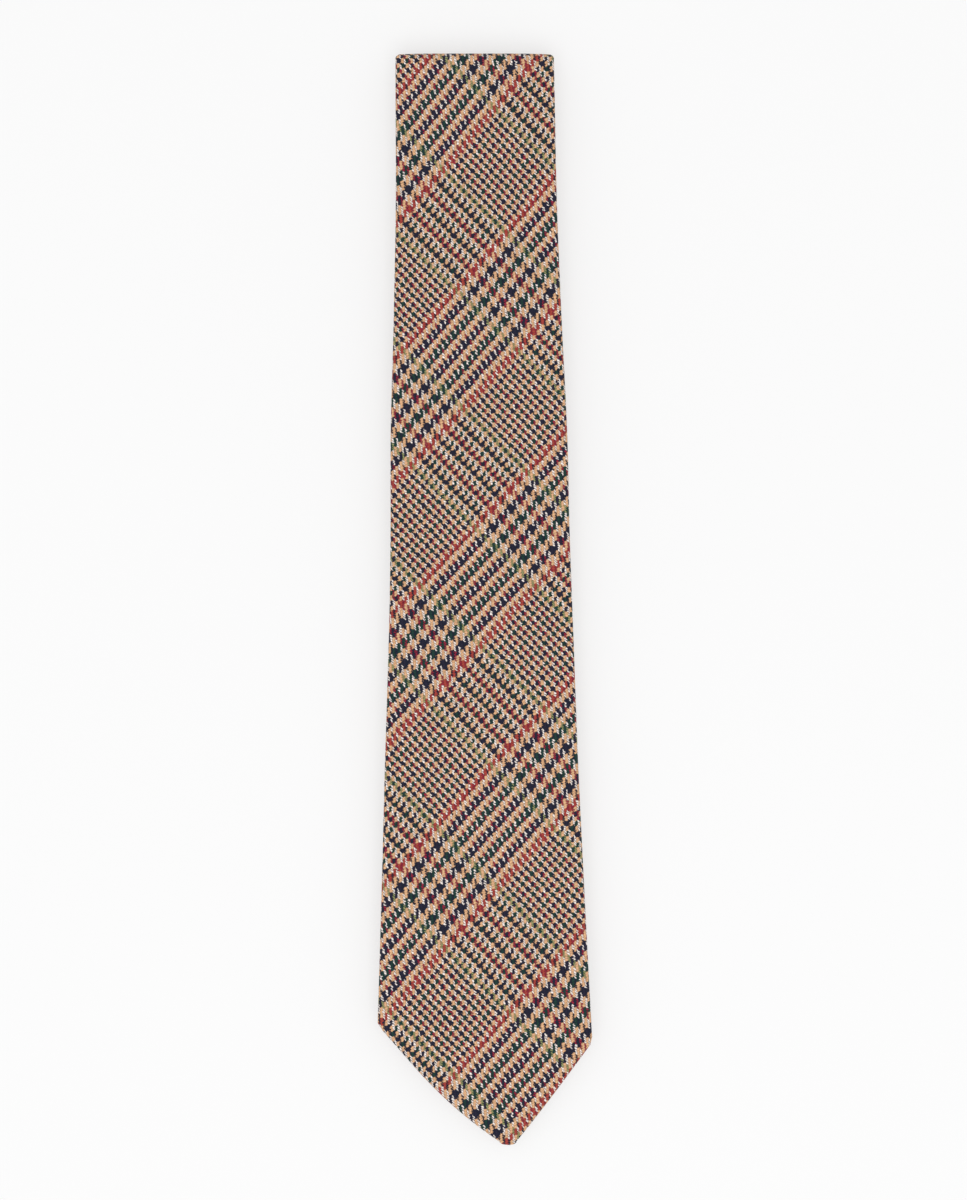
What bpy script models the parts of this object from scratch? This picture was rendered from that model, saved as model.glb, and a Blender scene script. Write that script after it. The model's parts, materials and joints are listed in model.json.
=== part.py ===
"""A wool necktie folded in four and lying flat, modelled in metres with +Z up.

The tie is a zigzag of four layers. The wide blade lies on top with its face up, the rear of
the blade and the neck lie under it, and the tail is at the bottom, on the table. Its length
runs along Y with the blade's tip at -Y. The origin is on the table under the middle of the
folded tie. Each layer is a flattened tube of shell fabric that meets along a slit at the
middle of its back, closed with a slip stitch, around an interlining. Each fold is a hinge
along X between two layers, half way between them.
"""

import math

import bmesh
import bpy

MM = 0.001

# The folded tie, seen from above.
FOLDED_LENGTH = 405.0 * MM
FOLD_BULGE = 2.6 * MM  # how far a fold's round edge stands out past its hinge line
TOP_HINGE_Y = FOLDED_LENGTH / 2 - FOLD_BULGE  # blade front to blade rear
LOWER_HINGE_Y = -162.0 * MM  # blade rear to neck
TAIL_HINGE_Y = 195.0 * MM  # neck to tail

# Widths of the folded shell along its length.
BLADE_WIDTH = 80.0 * MM
BLADE_WIDTH_AT_FOLD = 58.8 * MM
BLADE_WIDTH_FLARE = 2.8 * MM  # the edges curve in by this much, in all, half way along
WIDTH_AT_LOWER_FOLD = 40.0 * MM
WIDTH_AT_TAIL_FOLD = 34.0 * MM
TAIL_WIDTH = 42.0 * MM

# The blade's point. The tip is off centre and one side of the point bows out.
BLADE_TIP = (8.6 * MM, -FOLDED_LENGTH / 2)
BLADE_LEFT_CORNER_Y = -157.0 * MM
BLADE_RIGHT_CORNER_Y = -163.5 * MM
BLADE_LEFT_BOW = 3.0 * MM
TAIL_TIP = (0.0, -168.0 * MM)
TAIL_CORNER_Y = TAIL_TIP[1] + TAIL_WIDTH / 2

# The layers, from the table up. Each is one thickness of tie.
LAYER = 2.5 * MM
GAP = 0.3 * MM
KEEPER_GAP = 1.9 * MM  # room for the keeper loop and the label under the blade
TAIL_Z = 0.0
NECK_Z = TAIL_Z + LAYER + GAP
REAR_Z = NECK_Z + LAYER + GAP
FRONT_Z = REAR_Z + LAYER + KEEPER_GAP
DROOP = 5.0 * MM  # how far the blade's tip sinks past the folds under it
DROOP_START_Y = -120.0 * MM

# Cloth inside one layer, as heights above the layer's back.
SHELL = 0.6 * MM
TIPPING_HEIGHT = 0.8 * MM
TIPPING = 0.25 * MM
LINING_HEIGHT = 1.25 * MM
LINING = 0.45 * MM
CLOTH_INSET = 1.9 * MM  # from the tie's edge to the cloth inside it
POINT_INSET = 3.4 * MM  # the same along the slanted sides of a point
TIP_INSET = 7.0 * MM  # the same at a tip, along Y

# The back of the tie.
SLIT = 1.0 * MM
HEM = 12.5 * MM  # measured along X on a point's slanted sides
BLADE_TACK_Y = -52.0 * MM
TAIL_TACK_Y = -95.0 * MM
TIPPING_OVERLAP = 20.0 * MM  # how far the tipping runs on past the bar tack
THREAD = 0.4 * MM
TACK_SIZE = (7.0 * MM, 1.6 * MM, 0.5 * MM)
TACK_GAP = 0.25 * MM
TAIL_TACK_SIZE = (2.2 * MM, 1.2 * MM, 0.5 * MM)  # it lies in the mouth of the open slit
TAIL_TACK_DROP = 8.0 * MM  # how far below the start of the open slit
END_GAP = 1.0 * MM  # from a hinge line to the end of the lining and thread beside it

# Joins of the three lengths of shell fabric: each slants across the tie.
SEAM_GAP = 0.3 * MM
SEAM_SLANT = 0.8
REAR_SEAM_Y = -110.0 * MM
NECK_SEAM_Y = 140.0 * MM

# The self-fabric keeper loop and the blank care label on the blade's back.
KEEPER_Y = 2.0 * MM
KEEPER_WIDTH = 12.0 * MM
KEEPER_HALF_LENGTH = 25.0 * MM
KEEPER_CLOTH = 0.5 * MM
KEEPER_END_GAP = 0.3 * MM
KEEPER_DROP = 0.75 * MM  # how far the band stands off below its ends
KEEPER_END = 4.0 * MM
KEEPER_RAMP = 2.0 * MM
KEEPER_STITCH_SIZE = (0.8 * MM, 9.0 * MM, 0.3 * MM)
LABEL_SIZE = (20.0 * MM, 30.0 * MM, 0.25 * MM)
LABEL_Y = 48.0 * MM
LABEL_GAP = 0.4 * MM
LABEL_STITCH_SIZE = (18.0 * MM, 0.6 * MM, 0.3 * MM)
STITCH_GAP = 0.25 * MM

EDGE_STEPS = 4
FOLD_STEPS = 8

WOOL = (0.33, 0.24, 0.2, 1.0)
MATERIALS = {
    "shell_wool": (WOOL, 0.9),
    "interlining_wool": ((0.82, 0.79, 0.7, 1.0), 0.95),
    "tipping_lining": ((0.1, 0.1, 0.2, 1.0), 0.5),
    "stitch_thread": ((0.07, 0.08, 0.15, 1.0), 0.7),
    "label_satin": ((0.9, 0.88, 0.83, 1.0), 0.45),
}


# ---------------------------------------------------------------- scene helpers


def clear_scene():
    for old in list(bpy.data.objects):
        bpy.data.objects.remove(old, do_unlink=True)


def new_collection(name):
    collection = bpy.data.collections.new(name)
    bpy.context.scene.collection.children.link(collection)
    return collection


def new_material(node_name, kind):
    colour, roughness = MATERIALS[kind]
    material = bpy.data.materials.new(node_name)
    material.use_nodes = True
    shader = material.node_tree.nodes["Principled BSDF"]
    shader.inputs["Base Color"].default_value = colour
    shader.inputs["Roughness"].default_value = roughness
    shader.inputs["Metallic"].default_value = 0.0
    return material


def add_piece(collection, name, mesh, kind, body):
    """A named object on a body's empty, with its own material. Its mesh is in world metres."""
    piece = bpy.data.objects.new(name, mesh)
    collection.objects.link(piece)
    mesh.materials.append(new_material(name, kind))
    piece.parent = body
    piece.matrix_parent_inverse = body.matrix_world.inverted()
    return piece


def add_axis(collection, name, parent, y, z):
    """An empty on a fold's hinge line, which carries the layers that turn about it."""
    axis = bpy.data.objects.new(name, None)
    collection.objects.link(axis)
    axis.parent = parent
    offset = parent.matrix_world.translation if parent else (0.0, 0.0, 0.0)
    axis.location = (0.0, y - offset[1], z - offset[2])
    bpy.context.view_layer.update()
    return axis


# ---------------------------------------------------------------- outlines


def droop(y):
    """How far the top layer has sunk at y: nothing above DROOP_START_Y, DROOP at the tip."""
    share = (DROOP_START_Y - y) / (DROOP_START_Y - BLADE_TIP[1])
    return DROOP * max(share, 0.0) ** 2


def no_droop(_y):
    return 0.0


def point_side(y, side, corner_x, corner_y, tip, bow):
    """x on one slanted side of a point, which runs from its corner to the blunt tip."""
    share = (corner_y - y) / (corner_y - tip[1])
    tip_x = tip[0] + side * LAYER / 2
    straight = corner_x + (tip_x - corner_x) * share
    return straight + side * bow * 4 * share * (1 - share)


def blade_half_width(y):
    """Half the front blade's width above its corners: a taper whose edges curve in."""
    share = (TOP_HINGE_Y - y) / (TOP_HINGE_Y - BLADE_RIGHT_CORNER_Y)
    straight = BLADE_WIDTH_AT_FOLD + (BLADE_WIDTH - BLADE_WIDTH_AT_FOLD) * share
    return (straight - BLADE_WIDTH_FLARE * 4 * share * (1 - share)) / 2


def blade_edges(y):
    left, right = -blade_half_width(y), blade_half_width(y)
    if y < BLADE_LEFT_CORNER_Y:
        corner = -blade_half_width(BLADE_LEFT_CORNER_Y)
        left = point_side(y, -1, corner, BLADE_LEFT_CORNER_Y, BLADE_TIP, BLADE_LEFT_BOW)
    if y < BLADE_RIGHT_CORNER_Y:
        corner = blade_half_width(BLADE_RIGHT_CORNER_Y)
        right = point_side(y, 1, corner, BLADE_RIGHT_CORNER_Y, BLADE_TIP, 0.0)
    return left, right


def taper(y, y_a, width_a, y_b, width_b):
    """The two edges of a layer that narrows evenly from one fold to the next."""
    half = (width_a + (width_b - width_a) * (y - y_a) / (y_b - y_a)) / 2
    return -half, half


def rear_edges(y):
    return taper(y, TOP_HINGE_Y, BLADE_WIDTH_AT_FOLD, LOWER_HINGE_Y, WIDTH_AT_LOWER_FOLD)


def neck_edges(y):
    return taper(y, LOWER_HINGE_Y, WIDTH_AT_LOWER_FOLD, TAIL_HINGE_Y, WIDTH_AT_TAIL_FOLD)


def tail_edges(y):
    left, right = taper(y, TAIL_HINGE_Y, WIDTH_AT_TAIL_FOLD, TAIL_CORNER_Y, TAIL_WIDTH)
    if y < TAIL_CORNER_Y:
        half = TAIL_WIDTH / 2
        left = point_side(y, -1, -half, TAIL_CORNER_Y, TAIL_TIP, 0.0)
        right = point_side(y, 1, half, TAIL_CORNER_Y, TAIL_TIP, 0.0)
    return left, right


def closed_slit(_y):
    return -SLIT / 2, SLIT / 2


def open_slit(edges, tack_y, corner_y, tip):
    """The slit's two edges on a layer with a point. Above the bar tack the back is closed.
    Below it the flaps draw apart to the hem, and the hem meets again over the tip."""

    def slit(y):
        if y >= tack_y:
            return closed_slit(y)
        left, right = edges(y)
        left_hem, right_hem = left + HEM, right - HEM
        opened = min((tack_y - y) / (tack_y - corner_y), 1.0)
        middle = (tip[0] * opened) if y < corner_y else 0.0
        left_slit = -SLIT / 2 + (left_hem + SLIT / 2) * opened
        right_slit = SLIT / 2 + (right_hem - SLIT / 2) * opened
        return min(left_slit, middle - SLIT / 2), max(right_slit, middle + SLIT / 2)

    return slit


blade_slit = open_slit(blade_edges, BLADE_TACK_Y, BLADE_RIGHT_CORNER_Y, BLADE_TIP)
tail_slit = open_slit(tail_edges, TAIL_TACK_Y, TAIL_CORNER_Y, TAIL_TIP)


# ---------------------------------------------------------------- cloth


def section(left, right, slit_left, slit_right):
    """(x, height) around the outside of one layer, from one slit edge round to the other."""
    radius = LAYER / 2
    points = [(slit_right, 0.0)]
    for step in range(EDGE_STEPS + 1):
        angle = math.pi * (step / EDGE_STEPS - 0.5)
        x = right - radius + radius * math.cos(angle)
        points.append((x, radius + radius * math.sin(angle)))
    for step in range(EDGE_STEPS + 1):
        angle = math.pi * (step / EDGE_STEPS + 0.5)
        x = left + radius + radius * math.cos(angle)
        points.append((x, radius + radius * math.sin(angle)))
    points.append((slit_left, 0.0))
    return points


def stations(start, end, count, extra=()):
    """Evenly spread values from start to end, with the extra ones that fall between them."""
    low, high = min(start, end), max(start, end)
    spread = [start + (end - start) * i / count for i in range(count + 1)]
    spread += [y for y in extra if low < y < high]
    return sorted(set(spread))


def solidify(piece, thickness):
    """Gives an open surface its thickness on the inner side."""
    shell = piece.modifiers.new("cloth_thickness", "SOLIDIFY")
    shell.thickness = thickness
    shell.offset = -1.0


def grid_mesh(name, rows, flip=False):
    """A surface through rows of points that all have the same length."""
    mesh = bpy.data.meshes.new(name)
    work = bmesh.new()
    verts = [[work.verts.new(point) for point in row] for row in rows]
    for lower, upper in zip(verts, verts[1:]):
        for i in range(len(lower) - 1):
            corners = (lower[i], upper[i], upper[i + 1], lower[i + 1])
            work.faces.new(corners[::-1] if flip else corners)
    work.to_mesh(mesh)
    work.free()
    return mesh


def add_shell(collection, name, body, layer, y_range, slants=(0.0, 0.0), extra=(), count=5):
    """A length of folded shell between two Y values, its ends slanted where it is joined."""
    edges, slit, base, face_up, sink = layer
    start, end = y_range
    rows = []
    for y in stations(start, end, count, extra):
        share = (y - start) / (end - start)
        slant = slants[0] + (slants[1] - slants[0]) * share
        row = []
        for x, height in section(*edges(y), *slit(y)):
            height = height if face_up else LAYER - height
            row.append((x, y + slant * x, base + height - sink(y)))
        rows.append(row)
    piece = add_piece(collection, name, grid_mesh(name, rows, flip=not face_up), "shell_wool", body)
    solidify(piece, SHELL)
    return piece


def add_inner_cloth(collection, name, body, layer, kind, height, thickness, y_range, extra=()):
    """A flat cloth inside a layer, set in from the layer's edges."""
    edges, _slit, base, face_up, sink = layer
    low_corner = max((y for y in extra), default=None)
    rows = []
    for y in stations(*y_range, 4, extra):
        left, right = edges(y)
        inset = POINT_INSET if extra and y < low_corner else CLOTH_INSET
        z = base + (height if face_up else LAYER - height - thickness) + thickness - sink(y)
        rows.append([(left + inset, y, z), (right - inset, y, z)])
    piece = add_piece(collection, name, grid_mesh(name, rows, flip=True), kind, body)
    solidify(piece, thickness)
    return piece


def add_fold(collection, name, body, hinge_y, hinge_z, side, inner, outer, width):
    """The shell cloth that turns round a fold: half a flattened tube, outside first."""
    rows = []
    for step in range(FOLD_STEPS + 1):
        angle = math.pi * (0.5 - step / FOLD_STEPS)
        y = hinge_y + side * (GAP + (FOLD_BULGE - GAP) * math.cos(angle))
        z = hinge_z + (inner + outer) * math.sin(angle)
        rows.append([(-width / 2, y, z), (width / 2, y, z)])
    mesh = grid_mesh(name, rows, flip=side > 0)
    piece = add_piece(collection, name, mesh, "shell_wool", body)
    solidify(piece, SHELL)
    return piece


# ---------------------------------------------------------------- threads and trims


def add_thread(collection, name, body, x, z, y_range):
    """A straight stitched thread along Y."""
    curve = bpy.data.curves.new(name, "CURVE")
    curve.dimensions = "3D"
    curve.bevel_depth = THREAD / 2
    curve.bevel_resolution = 2
    curve.use_fill_caps = True
    curve.resolution_u = 1
    curve.render_resolution_u = 0
    spline = curve.splines.new("POLY")
    spline.points.add(1)
    for point, y in zip(spline.points, y_range):
        point.co = (x, y, z, 1.0)
    return add_piece(collection, name, curve, "stitch_thread", body)


def add_block(collection, name, body, centre, size, kind, bevel=0.08 * MM):
    """A small flat block with softened edges, centred on a point."""
    bpy.ops.mesh.primitive_cube_add(size=1.0, location=centre)
    piece = bpy.context.object
    piece.name = name
    piece.scale = size
    bpy.ops.object.transform_apply(location=False, rotation=False, scale=True)
    for owner in list(piece.users_collection):
        owner.objects.unlink(piece)
    collection.objects.link(piece)
    piece.data.materials.append(new_material(name, kind))
    piece.parent = body
    piece.matrix_parent_inverse = body.matrix_world.inverted()
    soften = piece.modifiers.new("soft_edges", "BEVEL")
    soften.width = bevel
    soften.segments = 1
    return piece


def add_keeper(collection, body):
    """The loop that the tail passes through: a band held to the blade's back at both ends."""
    top = FRONT_Z - KEEPER_END_GAP
    half, inner = KEEPER_HALF_LENGTH, KEEPER_HALF_LENGTH - KEEPER_END
    profile = [(half, top), (inner, top), (inner - KEEPER_RAMP, top - KEEPER_DROP)]
    profile += [(-x, z) for x, z in reversed(profile)]
    rows = [
        [(x, KEEPER_Y + side * KEEPER_WIDTH / 2, z) for x, z in profile]
        for side in (-1, 1)
    ]
    mesh = grid_mesh("keeper_loop", rows)
    band = add_piece(collection, "keeper_loop", mesh, "shell_wool", body)
    solidify(band, KEEPER_CLOTH)
    stitch_z = top - KEEPER_CLOTH - STITCH_GAP - KEEPER_STITCH_SIZE[2] / 2
    stitch_x = half - KEEPER_END / 2
    for label, side in (("left", -1), ("right", 1)):
        centre = (side * stitch_x, KEEPER_Y, stitch_z)
        name = f"keeper_stitch_{label}"
        add_block(collection, name, body, centre, KEEPER_STITCH_SIZE, "stitch_thread")


def add_care_label(collection, body):
    label_z = FRONT_Z - LABEL_GAP - LABEL_SIZE[2] / 2
    add_block(collection, "care_label", body, (0.0, LABEL_Y, label_z), LABEL_SIZE,
              "label_satin", bevel=0.05 * MM)
    stitch_y = LABEL_Y + LABEL_SIZE[1] / 2 - 1.5 * MM
    stitch_z = label_z - LABEL_SIZE[2] / 2 - STITCH_GAP - LABEL_STITCH_SIZE[2] / 2
    add_block(collection, "care_label_stitch", body, (0.0, stitch_y, stitch_z),
              LABEL_STITCH_SIZE, "stitch_thread")


# ---------------------------------------------------------------- the four layers


def build_blade_front(collection, body):
    layer = (blade_edges, blade_slit, FRONT_Z, True, droop)
    tip_y = BLADE_TIP[1]
    corners = (BLADE_LEFT_CORNER_Y, BLADE_RIGHT_CORNER_Y)
    point_rows = [tip_y + share * (BLADE_LEFT_CORNER_Y - tip_y)
                  for share in (0.06, 0.14, 0.24, 0.4, 0.56, 0.7)]
    add_shell(collection, "blade_shell_front", body, layer, (tip_y, TOP_HINGE_Y),
              extra=(*corners, *point_rows, BLADE_TACK_Y, DROOP_START_Y), count=9)
    inner_end = TOP_HINGE_Y - END_GAP
    inner_rows = (BLADE_LEFT_CORNER_Y - 0.5 * MM, *point_rows[2:])
    add_inner_cloth(collection, "blade_interlining", body, layer, "interlining_wool",
                    LINING_HEIGHT, LINING, (tip_y + TIP_INSET, inner_end),
                    (*inner_rows, DROOP_START_Y))
    tipping_top = BLADE_TACK_Y + TIPPING_OVERLAP
    add_inner_cloth(collection, "blade_tipping", body, layer, "tipping_lining",
                    TIPPING_HEIGHT, TIPPING, (tip_y + TIP_INSET, tipping_top), inner_rows)
    stitch_z = FRONT_Z + SHELL / 2
    add_thread(collection, "slip_stitch_front", body, 0.0, stitch_z,
               (BLADE_TACK_Y, TOP_HINGE_Y - END_GAP))
    tack_z = FRONT_Z - TACK_GAP - TACK_SIZE[2] / 2
    add_block(collection, "blade_bar_tack", body, (0.0, BLADE_TACK_Y, tack_z), TACK_SIZE,
              "stitch_thread")
    add_keeper(collection, body)
    add_care_label(collection, body)


def build_blade_rear(collection, body):
    layer = (rear_edges, closed_slit, REAR_Z, False, no_droop)
    add_shell(collection, "blade_shell_rear", body, layer,
              (REAR_SEAM_Y + SEAM_GAP / 2, TOP_HINGE_Y), (SEAM_SLANT, 0.0), count=4)
    add_shell(collection, "neck_shell_upper", body, layer,
              (LOWER_HINGE_Y, REAR_SEAM_Y - SEAM_GAP / 2), (0.0, SEAM_SLANT), count=2)
    ends = (LOWER_HINGE_Y + END_GAP, TOP_HINGE_Y - END_GAP)
    add_inner_cloth(collection, "rear_interlining", body, layer, "interlining_wool",
                    LINING_HEIGHT, LINING, ends)
    add_thread(collection, "slip_stitch_rear", body, 0.0, REAR_Z + LAYER - SHELL / 2, ends)


def build_neck(collection, body):
    layer = (neck_edges, closed_slit, NECK_Z, True, no_droop)
    add_shell(collection, "neck_shell_lower", body, layer,
              (LOWER_HINGE_Y, NECK_SEAM_Y - SEAM_GAP / 2), (0.0, SEAM_SLANT), count=4)
    add_shell(collection, "tail_shell_upper", body, layer,
              (NECK_SEAM_Y + SEAM_GAP / 2, TAIL_HINGE_Y), (SEAM_SLANT, 0.0), count=2)
    ends = (LOWER_HINGE_Y + END_GAP, TAIL_HINGE_Y - END_GAP)
    add_inner_cloth(collection, "neck_interlining", body, layer, "interlining_wool",
                    LINING_HEIGHT, LINING, ends)
    add_thread(collection, "slip_stitch_neck", body, 0.0, NECK_Z + SHELL / 2, ends)


def build_tail(collection, body):
    layer = (tail_edges, tail_slit, TAIL_Z, False, no_droop)
    tip_y = TAIL_TIP[1]
    point_rows = [tip_y + share * (TAIL_CORNER_Y - tip_y) for share in (0.15, 0.35, 0.6)]
    add_shell(collection, "tail_shell_end", body, layer, (tip_y, TAIL_HINGE_Y),
              extra=(*point_rows, TAIL_CORNER_Y, TAIL_TACK_Y), count=5)
    ends = (tip_y + TIP_INSET, TAIL_HINGE_Y - END_GAP)
    inner_rows = (TAIL_CORNER_Y - 0.5 * MM, point_rows[2])
    add_inner_cloth(collection, "tail_interlining", body, layer, "interlining_wool",
                    LINING_HEIGHT, LINING, ends, inner_rows)
    add_inner_cloth(collection, "tail_tipping", body, layer, "tipping_lining",
                    TIPPING_HEIGHT, TIPPING, (ends[0], TAIL_TACK_Y + TIPPING_OVERLAP),
                    inner_rows)
    stitch_z = TAIL_Z + LAYER - SHELL / 2
    add_thread(collection, "slip_stitch_tail", body, 0.0, stitch_z,
               (TAIL_TACK_Y + TAIL_TACK_SIZE[1], TAIL_HINGE_Y - END_GAP))
    add_block(collection, "tail_bar_tack", body, (0.0, TAIL_TACK_Y - TAIL_TACK_DROP, stitch_z),
              TAIL_TACK_SIZE, "stitch_thread")


def main():
    clear_scene()
    collection = new_collection("necktie")
    tail_hinge_z = TAIL_Z + LAYER + GAP / 2
    lower_hinge_z = NECK_Z + LAYER + GAP / 2
    top_hinge_z = REAR_Z + LAYER + KEEPER_GAP / 2
    tail = add_axis(collection, "tail_rest", None, 0.0, 0.0)
    neck = add_axis(collection, "tail_fold_axis", tail, TAIL_HINGE_Y, tail_hinge_z)
    rear = add_axis(collection, "lower_fold_axis", neck, LOWER_HINGE_Y, lower_hinge_z)
    front = add_axis(collection, "top_fold_axis", rear, TOP_HINGE_Y, top_hinge_z)
    build_tail(collection, tail)
    build_neck(collection, neck)
    build_blade_rear(collection, rear)
    build_blade_front(collection, front)
    add_fold(collection, "tail_fold", tail, TAIL_HINGE_Y, tail_hinge_z, 1,
             GAP / 2, LAYER, WIDTH_AT_TAIL_FOLD - LAYER)
    add_fold(collection, "neck_fold", neck, LOWER_HINGE_Y, lower_hinge_z, -1,
             GAP / 2, LAYER, WIDTH_AT_LOWER_FOLD - LAYER)
    add_fold(collection, "blade_fold", rear, TOP_HINGE_Y, top_hinge_z, 1,
             KEEPER_GAP / 2, LAYER, BLADE_WIDTH_AT_FOLD - LAYER)


main()
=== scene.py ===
"""Looks of the folded necktie: three lengths of checked wool twill, their linings, trims and
stitches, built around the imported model. Lengths are in metres.

Each length of shell cloth is a loft of rings. A ring runs from the slit at the middle of the
back, round one edge, over the front, round the other edge and back to the slit. The rings
follow a path that lies flat along a layer and turns round a fold to the next layer. Every
point also knows where it is in the cloth, counted in threads of the two yarn systems, and the
weave is drawn from those counts.
"""

import json
import math
import random

import bmesh
import bpy
from mathutils import Euler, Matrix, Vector, noise


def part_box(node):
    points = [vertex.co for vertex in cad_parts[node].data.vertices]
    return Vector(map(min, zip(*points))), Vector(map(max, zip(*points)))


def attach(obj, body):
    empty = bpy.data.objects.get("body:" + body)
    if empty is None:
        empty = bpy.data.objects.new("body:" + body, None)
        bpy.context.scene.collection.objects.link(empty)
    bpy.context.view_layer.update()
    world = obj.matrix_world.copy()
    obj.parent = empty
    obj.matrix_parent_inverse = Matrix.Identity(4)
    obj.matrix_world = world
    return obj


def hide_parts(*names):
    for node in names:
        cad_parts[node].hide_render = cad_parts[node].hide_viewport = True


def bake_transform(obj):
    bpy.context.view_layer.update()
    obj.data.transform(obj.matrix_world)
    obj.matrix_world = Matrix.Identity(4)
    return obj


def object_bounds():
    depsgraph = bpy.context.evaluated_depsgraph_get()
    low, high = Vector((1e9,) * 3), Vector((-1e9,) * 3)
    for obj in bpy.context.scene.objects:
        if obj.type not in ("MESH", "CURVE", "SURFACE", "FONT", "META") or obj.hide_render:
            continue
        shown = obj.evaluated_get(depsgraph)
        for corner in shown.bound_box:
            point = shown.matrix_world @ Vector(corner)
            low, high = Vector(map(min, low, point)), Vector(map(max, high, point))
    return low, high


MM = 0.001

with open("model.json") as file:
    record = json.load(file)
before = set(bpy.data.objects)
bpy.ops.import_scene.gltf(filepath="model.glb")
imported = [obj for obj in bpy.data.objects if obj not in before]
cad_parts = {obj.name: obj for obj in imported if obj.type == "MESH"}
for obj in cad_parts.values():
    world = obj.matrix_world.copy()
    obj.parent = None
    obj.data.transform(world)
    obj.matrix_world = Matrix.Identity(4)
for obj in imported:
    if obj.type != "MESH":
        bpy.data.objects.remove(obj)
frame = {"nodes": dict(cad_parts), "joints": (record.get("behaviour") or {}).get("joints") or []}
cad_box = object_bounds()

# ---------------------------------------------------------------- sizes from the frame

JOINT_AT = {joint["name"]: Vector(joint["pos_m"]) for joint in frame["joints"]}
TOP_HINGE = JOINT_AT["unfold_blade"]
LOWER_HINGE = JOINT_AT["unfold_neck"]
TAIL_HINGE = JOINT_AT["unfold_tail"]

TAIL_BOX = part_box("tail_shell_end")
NECK_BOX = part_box("neck_shell_lower")
REAR_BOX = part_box("blade_shell_rear")
FRONT_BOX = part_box("blade_shell_front")
LAYER = TAIL_BOX[1][2] - TAIL_BOX[0][2]
HALF_LAYER = LAYER / 2
TAIL_Z = HALF_LAYER
NECK_Z = NECK_BOX[0][2] + HALF_LAYER
REAR_Z = REAR_BOX[0][2] + HALF_LAYER
FRONT_Z = FRONT_BOX[1][2] - HALF_LAYER
FOLD_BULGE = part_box("blade_fold")[1][1] - TOP_HINGE.y

# ---------------------------------------------------------------- shape of the tie

LEFT_CORNER_Y = -157.8 * MM
RIGHT_CORNER_Y = -164.8 * MM
LEFT_BOW = 3.6 * MM
RIGHT_BOW = 0.4 * MM
BOW_SCALE = 5.38  # makes the fullest place of the bow's curve 1
BLADE_TIP = (8.6 * MM, FRONT_BOX[0][1] - 0.5 * MM, 1.8 * MM)  # x, y, half its width
TOP_SHIFT = 0.45 * MM  # the blade's upper part lies this far to the right
SHIFT_FROM_Y = -70.0 * MM
TOP_SLANT = -0.0114  # the top fold runs a little askew: y per x
SWELLS = ((62.0 * MM, 0.65 * MM), (148.0 * MM, -0.35 * MM))  # y and reach of uneven edges
SWELL_LENGTH = 30.0 * MM
BLADE_WIDTH = 2 * FRONT_BOX[1][0]
FOLD_WIDTH = REAR_BOX[1][0] - REAR_BOX[0][0]
BLADE_FLARE = 2.8 * MM
LOWER_FOLD_WIDTH = NECK_BOX[1][0] - NECK_BOX[0][0]
TAIL_WIDTH = TAIL_BOX[1][0] - TAIL_BOX[0][0]
TAIL_FOLD_WIDTH = 34.0 * MM
TAIL_TIP = (0.0, TAIL_BOX[0][1], HALF_LAYER)  # x, y, half its width
TAIL_CORNER_Y = TAIL_TIP[1] + TAIL_WIDTH / 2
DROOP = FRONT_BOX[1][2] - LAYER - FRONT_BOX[0][2]
DROOP_START_Y = -120.0 * MM
REAR_SEAM_Y = -110.0 * MM
NECK_SEAM_Y = 140.0 * MM
SEAM_SLANT = 0.8
BLADE_TACK_Y = -52.0 * MM
TAIL_TACK_Y = -95.0 * MM
HEM = 12.5 * MM

CLOTH = 0.45 * MM
CROWN = 0.3 * MM  # how much lower the front is at its edges than in its middle
CROWN_POWER = 5  # the higher, the flatter the front and the sooner it falls at its edges
SLIT = 0.3 * MM
LIP = 0.5 * MM  # how far a flap's edge turns in at the slit
ROW_STEP = 3.0 * MM
FRONT_COLUMNS = 26
EDGE_COLUMNS = 7
FLAP_COLUMNS = 7
FOLD_ROWS = 16
TIP_ROWS = 5
TIP_BLUNTNESS = 0.4  # in rows: the last ring of a tip stays this far from closing
TIP_SPREAD_POWER = 0.8
RIPPLE = 0.16 * MM
RIPPLE_RATE = (28.0, 14.0)  # across and along, in waves for a metre
RIPPLE_SLICE = 3.7
CORNER_ROUND = 0.7 * MM  # how far a fold's edges draw in where it turns
CORNER_POWER = 6

# ---------------------------------------------------------------- the cloth

REPEAT = 96  # threads in one repeat of the check, the same in both systems
OVERCHECK = 3
BROAD = 4  # threads in a stripe of the bold section
FINE = 2
BROAD_SECTION = OVERCHECK + 11 * BROAD

# Thread counts over the blade's front: the count at its middle, its rate along the tie to
# the first five powers, and its rate across the tie to the powers from nought to two. Lengths
# are in HALF_LENGTH along, and in millimetres across. The cloth is cut on the bias and
# pressed, so the rates change a little along it. The numbers are a fit to one tie's lie.
HALF_LENGTH = 200.0 * MM
FIRST_SYSTEM = {
    "middle": 30.62,
    "along": (-206.14, -3.49, 12.84, 2.57, -6.82),
    "across": (1.066, 0.018, 0.080),
}
SECOND_SYSTEM = {
    "middle": 68.14,
    "along": (231.98, 7.42, -4.60, -3.60, 2.10),
    "across": (1.167, 0.036, -0.034),
}

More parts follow.
